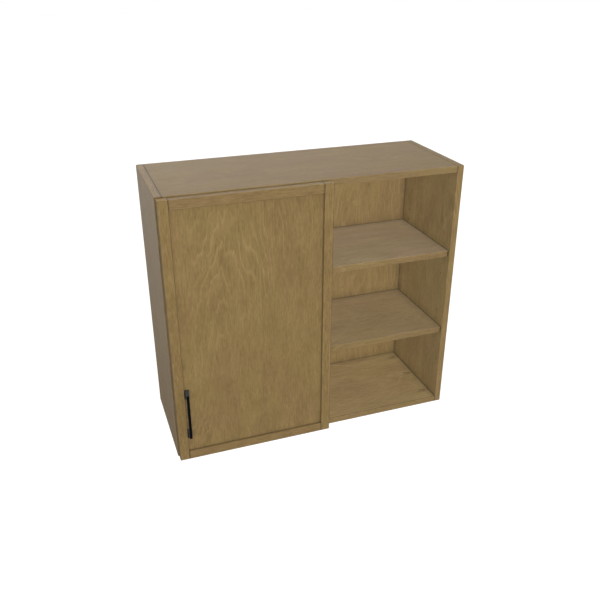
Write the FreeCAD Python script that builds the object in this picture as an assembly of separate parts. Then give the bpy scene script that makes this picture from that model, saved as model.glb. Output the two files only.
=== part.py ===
import FreeCAD, Part
import os

os.makedirs("parts", exist_ok=True)

# Blind corner wall cabinet. Sizes are in millimetres.
# X runs right along the wall, Y runs into the wall and Z runs up.
# The origin is the middle of the wall face, the centre of the wall screws.

# Carcass boards
WIDTH = 838.2
HEIGHT = 762.0
DEPTH = 304.8
BOARD = 18.0
BACK_THICKNESS = 12.7
BACK_LAP = 9.0
BACK_EDGE_GAP = 0.25

# Wall screw holes in the back
WALL_HOLE_SPACING_X = 406.4
WALL_HOLE_SPACING_Z = 606.0
WALL_HOLE_RADIUS = 2.75

# Screws that hold the back in its rabbets
BACK_SCREW_LENGTH = 32.0
BACK_SCREW_RADIUS = 1.75
BACK_SCREW_HEAD_RADIUS = 3.5
BACK_SCREW_HEAD_HEIGHT = 2.5
BACK_SCREW_END_MARGIN = 70.0
BACK_SCREWS_PER_SIDE = 4
BACK_SCREWS_PER_PANEL = 3

# Face-fixed connectors and dowels between the sides and the top and bottom
CONNECTOR_FRONT_MARGIN = 42.0
CONNECTOR_BACK_MARGIN = 44.8
CONNECTOR_COUNT = 3
LOBE_SETBACKS = (27.5, 17.5, 8.5)
LOBE_RADII = (7.2, 6.4, 5.2)
HOUSING_GAP = 0.6
HOUSING_BELOW_FACE = 0.3
HOUSING_RIM_CHAMFER = 0.6
HOUSING_HEIGHT = 12.0
HOUSING_POCKET_DEPTH = 12.6
HOUSING_DRIVE_LENGTH = 5.0
HOUSING_DRIVE_WIDTH = 1.6
HOUSING_DRIVE_DEPTH = 2.5
BOLT_THREAD_RADIUS = 2.5
BOLT_THREAD_LENGTH = 11.0
BOLT_SHAFT_RADIUS = 2.6
BOLT_HEAD_RADIUS = 3.3
BOLT_HEAD_LENGTH = 3.0
BOLT_HEAD_ROOM = 0.4
BOLT_BORE_RADIUS = 4.0
DOWEL_RADIUS = 4.0
DOWEL_IN_FIRST_BOARD = 11.0
DOWEL_IN_SECOND_BOARD = 19.0
HOLE_END_GAP = 0.8
FIT_GAP = 0.05

# Sanded edges, which leave a fine V line where two boards meet flush
BOARD_CHAMFER = 0.8

# Hinge mullion, hidden behind the hinge side of the door
MULLION_DEPTH = 76.0
MULLION_PAST_DOOR = 1.0
MULLION_DOWEL_INSET = 22.0

# Adjustable shelves on pins
SHELF_SETBACK = 8.0
SHELF_END_GAP = 1.0
SHELF_BACK_GAP = 1.0
SHELF_NOTCH_GAP = 1.5
SHELF_FRONT_ROUNDING = 1.5
SHELF_HEIGHTS = {"lower_shelf": 246.0, "upper_shelf": 494.0}
PIN_HOLE_RADIUS = 2.5
PIN_HOLE_DEPTH = 11.0
PIN_HOLE_PITCH = 32.0
PIN_HOLES_PER_GROUP = 5
PIN_ROW_FRONT_MARGIN = 39.0
PIN_ROW_BACK_MARGIN = 50.8
PIN_PAD_RADIUS = 5.0
PIN_PAD_LENGTH = 9.0

# Five-piece door
DOOR_LEFT_REVEAL = 3.2
DOOR_TOP_REVEAL = 3.0
DOOR_WIDTH = 447.1
DOOR_THICKNESS = 19.05
DOOR_GAP = 3.0
FRAME_WIDTH = 25.4
PANEL_RECESS = 6.35
TONGUE_THICKNESS = 6.35
GROOVE_DEPTH = 9.5
TONGUE_LENGTH = 9.0
PANEL_JOINT_GAP = 0.2
FRAME_ROUNDING = 1.0
BUMPER_RADIUS = 4.75
BUMPER_HEIGHT = 2.8
BUMPER_ROUNDING = 1.0
BUMPER_INSET_X = 9.0
BUMPER_INSET_Z = 24.0

# Bar pull on two flared feet
PULL_CENTRES = 128.0
PULL_FROM_DOOR_EDGE = 32.3
PULL_LOW_SCREW_HEIGHT = 84.0
PULL_BAR_WIDTH = 7.2
PULL_BAR_DEPTH = 7.0
PULL_BAR_OVERHANG = 6.0
PULL_PROJECTION = 21.0
PULL_FOOT_WIDTH = 13.5
PULL_FOOT_HEIGHT = 26.0
PULL_FOOT_PLINTH = 2.0
PULL_EDGE = 0.8
PULL_SCREW_RADIUS = 2.0
PULL_SCREW_GRIP = 9.0
PULL_SCREW_HEAD_RADIUS = 4.0
PULL_SCREW_HEAD_HEIGHT = 2.4
PULL_SCREW_HOLE_GAP = 0.25

# Concealed cup hinges with one pivot inside the cup
HINGE_FROM_DOOR_END = 95.0
CUP_TAB = 3.0
CUP_BORE_RADIUS = 17.5
CUP_BORE_DEPTH = 11.5
CUP_BODY_GAP = 0.1
CUP_WALL = 1.0
CUP_FLOOR = 0.7
FLANGE_THICKNESS = 1.2
FLANGE_RADIUS = 19.4
CUP_SCREW_SPACING = 45.0
CUP_SCREW_OFFSET = 9.5
CUP_SCREW_RADIUS = 1.75
CUP_SCREW_LENGTH = 9.0
CUP_SCREW_HEAD_RADIUS = 3.2
CUP_SCREW_HEAD_HEIGHT = 1.0
FLANGE_EAR_RADIUS = 6.5
PIVOT_FROM_CUP_CENTRE = 13.4
PIVOT_DEPTH = 8.4
PIN_RADIUS = 1.2
PIN_HALF_LENGTH = 9.2
PIN_LUG_RADIUS = 2.6
KNUCKLE_RADIUS = 2.0
KNUCKLE_HALF_LENGTH = 4.5
KNUCKLE_POCKET_GAP = 0.5
PIN_RUNNING_GAP = 0.05
PIN_SEAT_GAP = 0.02
ARM_THICKNESS = 1.6
ARM_HALF_WIDTH = 6.0
ARM_HOOK_FROM_MULLION = 9.3
ARM_JOG_SETBACK = 3.0
ARM_END_SETBACK = 62.0
ARM_KNUCKLE_RELIEF = 3.6
ARM_RIB_HEIGHT = 4.0
ARM_RIB_THICKNESS = 1.5
ARM_RIB_START = 9.0
ARM_BEND_INSIDE = 0.8
PLATE_THICKNESS = 2.0
PLATE_START = 12.0
PLATE_END = 66.0
PLATE_HALF_HEIGHT = 9.5
PLATE_WING_HALF_HEIGHT = 23.0
PLATE_WING_HALF_WIDTH = 8.0
PLATE_SCREW_SETBACK = 37.0
PLATE_SCREW_SPACING = 32.0
PLATE_SCREW_RADIUS = 1.9
PLATE_SCREW_LENGTH = 14.0
PLATE_SCREW_HEAD_RADIUS = 4.0
PLATE_SCREW_HEAD_HEIGHT = 2.2
ADJUSTER_SETBACKS = (26.0, 52.0)
ADJUSTER_RADIUS = 2.0
ADJUSTER_HEAD_RADIUS = 3.6
ADJUSTER_HEAD_HEIGHT = 2.4
DRIVE_WIDTH = 1.0
DRIVE_DEPTH = 1.2
DRIVE_HALF_LENGTH_TO_HEAD_RADIUS = 0.6
SCREW_TIP_LENGTH = 3.0
SCREW_TIP_RADIUS = 0.3

# How far a cutting tool runs past the face it opens
OVERCUT = 1.0

# Positions that follow from the sizes above
LEFT = -WIDTH / 2
RIGHT = WIDTH / 2
FRONT = -DEPTH
BOTTOM = -HEIGHT / 2
TOP = HEIGHT / 2
INNER_LEFT = LEFT + BOARD
INNER_RIGHT = RIGHT - BOARD
INNER_BOTTOM = BOTTOM + BOARD
INNER_TOP = TOP - BOARD
INNER_BACK = -BACK_THICKNESS

DOOR_LEFT = LEFT + DOOR_LEFT_REVEAL
DOOR_RIGHT = DOOR_LEFT + DOOR_WIDTH
DOOR_BOTTOM = BOTTOM
DOOR_TOP = TOP - DOOR_TOP_REVEAL
DOOR_BACK = FRONT - DOOR_GAP
DOOR_FRONT = DOOR_BACK - DOOR_THICKNESS
PANEL_FRONT = DOOR_FRONT + PANEL_RECESS
TONGUE_BACK = PANEL_FRONT + TONGUE_THICKNESS
FIELD_LEFT = DOOR_LEFT + FRAME_WIDTH
FIELD_RIGHT = DOOR_RIGHT - FRAME_WIDTH
FIELD_BOTTOM = DOOR_BOTTOM + FRAME_WIDTH
FIELD_TOP = DOOR_TOP - FRAME_WIDTH

MULLION_RIGHT = DOOR_RIGHT + MULLION_PAST_DOOR
MULLION_LEFT = MULLION_RIGHT - BOARD
MULLION_BACK = FRONT + MULLION_DEPTH

CUP_X = DOOR_RIGHT - CUP_TAB - CUP_BORE_RADIUS
PIVOT_X = CUP_X + PIVOT_FROM_CUP_CENTRE
PIVOT_Y = DOOR_BACK - PIVOT_DEPTH
HINGE_HEIGHTS = {
    "lower": DOOR_BOTTOM + HINGE_FROM_DOOR_END,
    "upper": DOOR_TOP - HINGE_FROM_DOOR_END,
}

ALONG_X = FreeCAD.Vector(1, 0, 0)
ALONG_Y = FreeCAD.Vector(0, 1, 0)
ALONG_Z = FreeCAD.Vector(0, 0, 1)


def box(x0, x1, y0, y1, z0, z1):
    """A block between two opposite corners."""
    return Part.makeBox(x1 - x0, y1 - y0, z1 - z0, FreeCAD.Vector(x0, y0, z0))


def sanded_box(x0, x1, y0, y1, z0, z1):
    """A board between two opposite corners with all its edges chamfered."""
    block = box(x0, x1, y0, y1, z0, z1)
    return block.makeChamfer(BOARD_CHAMFER, block.Edges)


def rod(x, y, z, direction, length, radius):
    """A round bar from a point along a direction; a negative length runs the other way."""
    way = direction if length > 0 else direction * -1
    return Part.makeCylinder(radius, abs(length), FreeCAD.Vector(x, y, z), way)


def cone(x, y, z, direction, length, radius_start, radius_end):
    """A tapered round bar from a point along a direction."""
    way = direction if length > 0 else direction * -1
    return Part.makeCone(radius_start, radius_end, abs(length), FreeCAD.Vector(x, y, z), way)


def join(shapes):
    """Fuses several shapes into one clean solid."""
    first = shapes[0]
    return first.fuse(shapes[1:]).removeSplitter()


def save(name, solids):
    """Writes one node, which holds one solid or a group of like solids."""
    shape = solids if not isinstance(solids, list) else Part.makeCompound(solids)
    shape.exportStep("parts/" + name + ".step")


def softened(shape, radius, chosen):
    """Rounds the edges whose middle points pass a test."""
    edges = []
    for edge in shape.Edges:
        middle = edge.valueAt((edge.FirstParameter + edge.LastParameter) / 2)
        if chosen(middle):
            edges.append(edge)
    return shape.makeFillet(radius, edges)


def near(a, b):
    """True where two lengths are the same to a hundredth of a millimetre."""
    return abs(a - b) < 0.01


def connector_setbacks():
    """Distances of the connectors from the front of the carcass."""
    run = DEPTH - CONNECTOR_FRONT_MARGIN - CONNECTOR_BACK_MARGIN
    return [CONNECTOR_FRONT_MARGIN + run * i / (CONNECTOR_COUNT - 1) for i in range(CONNECTOR_COUNT)]


def dowel_setbacks():
    """The dowels stand half way between the connectors."""
    setbacks = connector_setbacks()
    return [(setbacks[i] + setbacks[i + 1]) / 2 for i in range(CONNECTOR_COUNT - 1)]


def pin_row_setbacks():
    """Distances of the two rows of shelf pin holes from the front of the carcass."""
    return [PIN_ROW_FRONT_MARGIN, DEPTH - PIN_ROW_BACK_MARGIN]


def corner_joints():
    """The four joints: which side, which panel and where their inner faces are."""
    for side_sign in (-1, 1):
        for level_sign in (-1, 1):
            side_face = side_sign * INNER_RIGHT
            panel_face = INNER_TOP if level_sign > 0 else INNER_BOTTOM
            yield side_sign, level_sign, side_face, panel_face


def lobes(side_sign, level_sign, side_face, start_z, y, depth, gap):
    """Three overlapping round lobes in a row, the plan of a connector's housing and of its pocket."""
    rounds = []
    for setback, radius in zip(LOBE_SETBACKS, LOBE_RADII):
        x = side_face - side_sign * setback
        rounds.append(rod(x, y, start_z, ALONG_Z, level_sign * depth, radius + gap))
    return join(rounds)


def connector_housing(side_sign, level_sign, side_face, panel_face, y):
    """A lobed housing just below the board's face, bored for its bolt, with a cross drive."""
    start_z = panel_face + level_sign * HOUSING_BELOW_FACE
    housing = lobes(side_sign, level_sign, side_face, start_z, y, HOUSING_HEIGHT - HOUSING_BELOW_FACE, 0)
    rim = [edge for edge in housing.Edges if near(edge.CenterOfMass.z, start_z)]
    housing = housing.makeChamfer(HOUSING_RIM_CHAMFER, rim)
    axis_z = panel_face + level_sign * BOARD / 2
    bolt_end = side_face - side_sign * (LOBE_SETBACKS[0] + BOLT_HEAD_ROOM)
    bore_length = side_sign * (LOBE_SETBACKS[0] + BOLT_HEAD_ROOM)
    bore = rod(bolt_end, y, axis_z, ALONG_X, bore_length, BOLT_HEAD_RADIUS + BOLT_HEAD_ROOM)
    x = side_face - side_sign * LOBE_SETBACKS[1]
    z0 = min(start_z, start_z + level_sign * HOUSING_DRIVE_DEPTH)
    z1 = max(start_z, start_z + level_sign * HOUSING_DRIVE_DEPTH)
    long_half = HOUSING_DRIVE_LENGTH / 2
    thin_half = HOUSING_DRIVE_WIDTH / 2
    cross = [box(x - long_half, x + long_half, y - thin_half, y + thin_half, z0, z1),
             box(x - thin_half, x + thin_half, y - long_half, y + long_half, z0, z1)]
    return housing.cut([bore] + cross)


def connector_bolt(side_sign, level_sign, side_face, panel_face, y):
    """A bolt whose thread is in the side board and whose head is in the housing."""
    axis_z = panel_face + level_sign * BOARD / 2
    thread = rod(side_face, y, axis_z, ALONG_X, side_sign * BOLT_THREAD_LENGTH, BOLT_THREAD_RADIUS)
    head_end = side_face - side_sign * LOBE_SETBACKS[0]
    head = rod(head_end, y, axis_z, ALONG_X, side_sign * BOLT_HEAD_LENGTH, BOLT_HEAD_RADIUS)
    shaft = rod(head_end, y, axis_z, ALONG_X, side_sign * LOBE_SETBACKS[0], BOLT_SHAFT_RADIUS)
    return join([thread, head, shaft])


def side_holes(side_sign):
    """Everything drilled into one side: bolts, dowels and shelf pin holes."""
    face = side_sign * INNER_RIGHT
    holes = []
    for level in (INNER_BOTTOM - BOARD / 2, INNER_TOP + BOARD / 2):
        for setback in connector_setbacks():
            depth = side_sign * (BOLT_THREAD_LENGTH + HOLE_END_GAP)
            holes.append(rod(face, FRONT + setback, level, ALONG_X, depth, BOLT_THREAD_RADIUS + FIT_GAP))
        for setback in dowel_setbacks():
            depth = side_sign * (DOWEL_IN_FIRST_BOARD + HOLE_END_GAP)
            holes.append(rod(face, FRONT + setback, level, ALONG_X, depth, DOWEL_RADIUS + FIT_GAP))
    middle = (PIN_HOLES_PER_GROUP - 1) / 2
    for height in SHELF_HEIGHTS.values():
        for setback in pin_row_setbacks():
            for i in range(PIN_HOLES_PER_GROUP):
                z = BOTTOM + height + (i - middle) * PIN_HOLE_PITCH
                depth = side_sign * PIN_HOLE_DEPTH
                holes.append(rod(face, FRONT + setback, z, ALONG_X, depth, PIN_HOLE_RADIUS))
    return holes


def side_board(side_sign):
    """A full-height side with a rabbet for the back."""
    inner = side_sign * INNER_RIGHT
    outer = side_sign * RIGHT
    rabbet = inner + side_sign * BACK_LAP
    board = sanded_box(min(inner, outer), max(inner, outer), FRONT, 0, BOTTOM, TOP)
    board = board.cut(box(min(inner, rabbet), max(inner, rabbet), INNER_BACK, 0,
                          INNER_BOTTOM - BACK_LAP, INNER_TOP + BACK_LAP))
    pilots = [rod(x, INNER_BACK, z, ALONG_Y, -back_screw_reach(), BACK_SCREW_RADIUS + FIT_GAP)
              for x, z in back_screw_places() if near(x, back_screw_side_x(side_sign))]
    return board.cut(side_holes(side_sign) + pilots)


def level_board(level_sign):
    """The top or bottom, between the sides, with its connector pockets and a rabbet for the back."""
    inner = level_sign * INNER_TOP
    outer = level_sign * TOP
    rabbet = inner + level_sign * BACK_LAP
    board = sanded_box(INNER_LEFT, INNER_RIGHT, FRONT, 0, min(inner, outer), max(inner, outer))
    board = board.cut(box(INNER_LEFT, INNER_RIGHT, INNER_BACK, 0, min(inner, rabbet), max(inner, rabbet)))
    axis_z = inner + level_sign * BOARD / 2
    holes = []
    for side_sign in (-1, 1):
        face = side_sign * INNER_RIGHT
        for setback in connector_setbacks():
            y = FRONT + setback
            holes.append(lobes(side_sign, level_sign, face, inner, y, HOUSING_POCKET_DEPTH, HOUSING_GAP))
            holes.append(rod(face, y, axis_z, ALONG_X, -side_sign * LOBE_SETBACKS[0], BOLT_BORE_RADIUS))
        for setback in dowel_setbacks():
            depth = -side_sign * (DOWEL_IN_SECOND_BOARD + HOLE_END_GAP)
            holes.append(rod(face, FRONT + setback, axis_z, ALONG_X, depth, DOWEL_RADIUS + FIT_GAP))
    for y in mullion_dowel_ys():
        depth = level_sign * (DOWEL_IN_FIRST_BOARD + HOLE_END_GAP)
        holes.append(rod(mullion_middle(), y, inner, ALONG_Z, depth, DOWEL_RADIUS + FIT_GAP))
    for x, z in back_screw_places():
        if near(z, back_screw_panel_z(level_sign)):
            holes.append(rod(x, INNER_BACK, z, ALONG_Y, -back_screw_reach(), BACK_SCREW_RADIUS + FIT_GAP))
    return board.cut(holes)


def back_screw_reach():
    """How far a back screw goes into the board in front of the back."""
    return BACK_SCREW_LENGTH - BACK_THICKNESS + HOLE_END_GAP


def back_screw_side_x(side_sign):
    """The back screws run up the middle of the lap on each side."""
    return side_sign * (INNER_RIGHT + BACK_LAP / 2)


def back_screw_panel_z(level_sign):
    """The back screws run along the middle of the lap on the top and bottom."""
    return level_sign * (INNER_TOP + BACK_LAP / 2)


def evenly(count, half_length):
    """Evenly spaced positions from minus to plus half a length."""
    return [-half_length + 2 * half_length * i / (count - 1) for i in range(count)]


def back_screw_places():
    """X and Z of every screw round the edge of the back."""
    places = []
    for sign in (-1, 1):
        for z in evenly(BACK_SCREWS_PER_SIDE, TOP - BACK_SCREW_END_MARGIN):
            places.append((back_screw_side_x(sign), z))
        for x in evenly(BACK_SCREWS_PER_PANEL, RIGHT - 2 * BACK_SCREW_END_MARGIN):
            places.append((x, back_screw_panel_z(sign)))
    return places


def back_screw(x, z):
    """A countersunk screw whose head is flush with the wall face."""
    shank = rod(x, 0, z, ALONG_Y, -(BACK_SCREW_LENGTH - SCREW_TIP_LENGTH), BACK_SCREW_RADIUS)
    tip = cone(x, -(BACK_SCREW_LENGTH - SCREW_TIP_LENGTH), z, ALONG_Y, -SCREW_TIP_LENGTH, BACK_SCREW_RADIUS,
               SCREW_TIP_RADIUS)
    head = cone(x, 0, z, ALONG_Y, -BACK_SCREW_HEAD_HEIGHT, BACK_SCREW_HEAD_RADIUS, BACK_SCREW_RADIUS)
    screw = join([shank, tip, head])
    return screw.cut(driver_cross(x, 0, z, ALONG_Y, -1, BACK_SCREW_HEAD_RADIUS))


def driver_cross(x, y, z, direction, way, head_radius):
    """The cross recess in the end of a screw's head; way is the sign that runs into the head."""
    reach = head_radius * DRIVE_HALF_LENGTH_TO_HEAD_RADIUS
    half = DRIVE_WIDTH / 2
    if direction == ALONG_Y:
        y0, y1 = min(y, y + way * DRIVE_DEPTH), max(y, y + way * DRIVE_DEPTH)
        bars = [box(x - reach, x + reach, y0, y1, z - half, z + half),
                box(x - half, x + half, y0, y1, z - reach, z + reach)]
    else:
        x0, x1 = min(x, x + way * DRIVE_DEPTH), max(x, x + way * DRIVE_DEPTH)
        bars = [box(x0, x1, y - reach, y + reach, z - half, z + half),
                box(x0, x1, y - half, y + half, z - reach, z + reach)]
    return bars


def back_board():
    """The back, lapped into the four boards, with the wall screw holes."""
    gap = BACK_EDGE_GAP
    board = box(INNER_LEFT - BACK_LAP + gap, INNER_RIGHT + BACK_LAP - gap, INNER_BACK, 0,
                INNER_BOTTOM - BACK_LAP + gap, INNER_TOP + BACK_LAP - gap)
    holes = []
    for x_sign in (-1, 1):
        for z_sign in (-1, 1):
            x = x_sign * WALL_HOLE_SPACING_X / 2
            z = z_sign * WALL_HOLE_SPACING_Z / 2
            holes.append(rod(x, INNER_BACK, z, ALONG_Y, BACK_THICKNESS, WALL_HOLE_RADIUS))
    for x, z in back_screw_places():
        holes.append(rod(x, INNER_BACK, z, ALONG_Y, BACK_THICKNESS, BACK_SCREW_RADIUS + FIT_GAP))
        holes.append(cone(x, 0, z, ALONG_Y, -BACK_SCREW_HEAD_HEIGHT, BACK_SCREW_HEAD_RADIUS + FIT_GAP,
                          BACK_SCREW_RADIUS + FIT_GAP))
    return board.cut(holes)


def mullion_middle():
    """X of the middle of the mullion's thickness."""
    return (MULLION_LEFT + MULLION_RIGHT) / 2


def mullion_dowel_ys():
    """Y of the two dowels in each end of the mullion."""
    return [FRONT + MULLION_DOWEL_INSET, MULLION_BACK - MULLION_DOWEL_INSET]


def mullion():
    """The upright that carries the hinges, doweled between the top and the bottom."""
    board = sanded_box(MULLION_LEFT, MULLION_RIGHT, FRONT, MULLION_BACK, INNER_BOTTOM, INNER_TOP)
    holes = []
    for y in mullion_dowel_ys():
        depth = DOWEL_IN_SECOND_BOARD + HOLE_END_GAP
        holes.append(rod(mullion_middle(), y, INNER_BOTTOM, ALONG_Z, depth, DOWEL_RADIUS + FIT_GAP))
        holes.append(rod(mullion_middle(), y, INNER_TOP, ALONG_Z, -depth, DOWEL_RADIUS + FIT_GAP))
    for z in HINGE_HEIGHTS.values():
        for screw_z in plate_screw_zs(z):
            reach = PLATE_SCREW_LENGTH + HOLE_END_GAP
            holes.append(rod(MULLION_LEFT, FRONT + PLATE_SCREW_SETBACK, screw_z, ALONG_X, reach,
                             PLATE_SCREW_RADIUS + FIT_GAP))
    return board.cut(holes)


def dowel(x, y, z, direction, way):
    """A wooden dowel across a joint; way points into the board that takes its shorter end."""
    length = DOWEL_IN_FIRST_BOARD + DOWEL_IN_SECOND_BOARD
    start = FreeCAD.Vector(x, y, z) - direction * (way * DOWEL_IN_SECOND_BOARD)
    return rod(start.x, start.y, start.z, direction, way * length, DOWEL_RADIUS)


def shelf(height):
    """A loose shelf with a rounded front, notched so that it passes the mullion."""
    z = BOTTOM + height
    shelf_front = FRONT + SHELF_SETBACK
    board = box(INNER_LEFT + SHELF_END_GAP, INNER_RIGHT - SHELF_END_GAP, shelf_front,
                INNER_BACK - SHELF_BACK_GAP, z, z + BOARD)
    board = softened(board, SHELF_FRONT_ROUNDING, lambda point: near(point.y, shelf_front))
    notch = box(MULLION_LEFT - SHELF_NOTCH_GAP, MULLION_RIGHT + SHELF_NOTCH_GAP, FRONT,
                MULLION_BACK + SHELF_NOTCH_GAP, z, z + BOARD)
    return board.cut(notch)


def shelf_pin(side_sign, setback, height):
    """A peg with a half-round pad under the shelf."""
    face = side_sign * INNER_RIGHT
    y = FRONT + setback
    z = BOTTOM + height
    peg = rod(face, y, z, ALONG_X, side_sign * (PIN_HOLE_DEPTH - HOLE_END_GAP), PIN_HOLE_RADIUS - FIT_GAP)
    pad = rod(face, y, z, ALONG_X, -side_sign * PIN_PAD_LENGTH, PIN_PAD_RADIUS)
    inner_end = face - side_sign * PIN_PAD_LENGTH
    upper_half = box(min(face, inner_end), max(face, inner_end), y - PIN_PAD_RADIUS, y + PIN_PAD_RADIUS,
                     z, z + PIN_PAD_RADIUS)
    return join([peg, pad.cut(upper_half)])


def rounded_frame_edge(point, outside):
    """True for all edges of a frame piece's front face and the outside edges of its back face."""
    return near(point.y, DOOR_FRONT) or (near(point.y, DOOR_BACK) and outside)


def stile_outside(point, outer_x):
    """True for a point on the outside of a stile: its outer edge or one of its ends."""
    return near(point.x, outer_x) or near(point.z, DOOR_BOTTOM) or near(point.z, DOOR_TOP)


def stile(outer_x, inner_x):
    """An upright of the door frame, grooved along its inner edge."""
    way = 1 if outer_x > inner_x else -1
    block = box(min(outer_x, inner_x), max(outer_x, inner_x), DOOR_FRONT, DOOR_BACK, DOOR_BOTTOM, DOOR_TOP)
    block = softened(block, FRAME_ROUNDING,
                     lambda point: rounded_frame_edge(point, stile_outside(point, outer_x)))
    groove_end = inner_x + way * GROOVE_DEPTH
    groove = box(min(inner_x, groove_end), max(inner_x, groove_end), PANEL_FRONT, TONGUE_BACK,
                 DOOR_BOTTOM, DOOR_TOP)
    return block.cut(groove)


def rail(outer_z, inner_z):
    """A cross piece of the door frame with a stub tenon at each end and a groove for the panel."""
    way = 1 if outer_z > inner_z else -1
    block = box(FIELD_LEFT, FIELD_RIGHT, DOOR_FRONT, DOOR_BACK,
                min(outer_z, inner_z), max(outer_z, inner_z))
    block = softened(block, FRAME_ROUNDING,
                     lambda point: rounded_frame_edge(point, near(point.z, outer_z)))
    tenons = box(FIELD_LEFT - TONGUE_LENGTH, FIELD_RIGHT + TONGUE_LENGTH, PANEL_FRONT, TONGUE_BACK,
                 min(outer_z, inner_z), max(outer_z, inner_z))
    groove_end = inner_z + way * GROOVE_DEPTH
    groove = box(FIELD_LEFT - GROOVE_DEPTH, FIELD_RIGHT + GROOVE_DEPTH, PANEL_FRONT, TONGUE_BACK,
                 min(inner_z, groove_end), max(inner_z, groove_end))
    return join([block, tenons]).cut(groove)


def cup_bores():
    """The round pockets for the hinge cups in the back of the door."""
    return [rod(CUP_X, DOOR_BACK, z, ALONG_Y, -CUP_BORE_DEPTH, CUP_BORE_RADIUS)
            for z in HINGE_HEIGHTS.values()]


def cup_screw_places():
    """X and Z of the screws that hold the hinge cups."""
    x = CUP_X - CUP_SCREW_OFFSET
    return [(x, z + sign * CUP_SCREW_SPACING / 2) for z in HINGE_HEIGHTS.values() for sign in (-1, 1)]


def pull_x():
    """X of the pull's middle line."""
    return DOOR_LEFT + PULL_FROM_DOOR_EDGE


def pull_screw_zs():
    """Heights of the two pull screws."""
    low = BOTTOM + PULL_LOW_SCREW_HEIGHT
    return [low, low + PULL_CENTRES]


def door_panel():
    """The field of the door: a tongue all round the front half, flush with the frame at the back."""
    tongue = box(FIELD_LEFT - TONGUE_LENGTH, FIELD_RIGHT + TONGUE_LENGTH, PANEL_FRONT, TONGUE_BACK,
                 FIELD_BOTTOM - TONGUE_LENGTH, FIELD_TOP + TONGUE_LENGTH)
    gap = PANEL_JOINT_GAP
    raised = box(FIELD_LEFT + gap, FIELD_RIGHT - gap, TONGUE_BACK, DOOR_BACK,
                 FIELD_BOTTOM + gap, FIELD_TOP - gap)
    holes = cup_bores()
    for x, z in cup_screw_places():
        depth = CUP_SCREW_LENGTH + HOLE_END_GAP
        holes.append(rod(x, DOOR_BACK, z, ALONG_Y, -depth, CUP_SCREW_RADIUS + FIT_GAP))
    for z in pull_screw_zs():
        length = DOOR_BACK - PANEL_FRONT
        holes.append(rod(pull_x(), DOOR_BACK, z, ALONG_Y, -length, PULL_SCREW_RADIUS + PULL_SCREW_HOLE_GAP))
    return join([tongue, raised]).cut(holes)


def upright_rectangle(x, y, z, width, height):
    """A closed upright rectangle about a middle point."""
    corners = [(-1, -1), (1, -1), (1, 1), (-1, 1), (-1, -1)]
    points = [FreeCAD.Vector(x + a * width / 2, y, z + b * height / 2) for a, b in corners]
    return Part.makePolygon(points)


def pull():
    """A square bar on two feet that flare towards the door."""
    x = pull_x()
    bar_front = PANEL_FRONT - PULL_PROJECTION
    bar_back = bar_front + PULL_BAR_DEPTH
    z_low, z_high = pull_screw_zs()
    half = PULL_BAR_WIDTH / 2
    bar = box(x - half, x + half, bar_front, bar_back,
              z_low - PULL_BAR_OVERHANG, z_high + PULL_BAR_OVERHANG)
    pieces = [bar]
    for z in (z_low, z_high):
        plinth_top = PANEL_FRONT - PULL_FOOT_PLINTH
        base = upright_rectangle(x, plinth_top, z, PULL_FOOT_WIDTH, PULL_FOOT_HEIGHT)
        neck = upright_rectangle(x, bar_back - PULL_BAR_DEPTH / 2, z, PULL_BAR_WIDTH, 2 * PULL_BAR_OVERHANG)
        pieces.append(Part.makeLoft([base, neck], True, True))
        pieces.append(box(x - PULL_FOOT_WIDTH / 2, x + PULL_FOOT_WIDTH / 2, plinth_top, PANEL_FRONT,
                          z - PULL_FOOT_HEIGHT / 2, z + PULL_FOOT_HEIGHT / 2))
    solid = join(pieces)
    solid = softened(solid, PULL_EDGE, lambda point: near(point.y, bar_front))
    depth = PULL_SCREW_GRIP + HOLE_END_GAP
    threads = [rod(x, PANEL_FRONT, z, ALONG_Y, -depth, PULL_SCREW_RADIUS + FIT_GAP)
               for z in (z_low, z_high)]
    return solid.cut(threads)


def pull_screw(z):
    """A machine screw from behind the panel into a foot of the pull."""
    length = DOOR_BACK - PANEL_FRONT + PULL_SCREW_GRIP
    shank = rod(pull_x(), DOOR_BACK, z, ALONG_Y, -length, PULL_SCREW_RADIUS)
    head = rod(pull_x(), DOOR_BACK, z, ALONG_Y, PULL_SCREW_HEAD_HEIGHT, PULL_SCREW_HEAD_RADIUS)
    crown = DOOR_BACK + PULL_SCREW_HEAD_HEIGHT
    return join([shank, head]).cut(driver_cross(pull_x(), crown, z, ALONG_Y, -1, PULL_SCREW_HEAD_RADIUS))


def bumper(z):
    """A soft pad on the back of the door that meets the front edge of the left side."""
    pad = rod(LEFT + BUMPER_INSET_X, DOOR_BACK, z, ALONG_Y, BUMPER_HEIGHT, BUMPER_RADIUS)
    return softened(pad, BUMPER_ROUNDING, lambda point: near(point.y, DOOR_BACK + BUMPER_HEIGHT))


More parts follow.
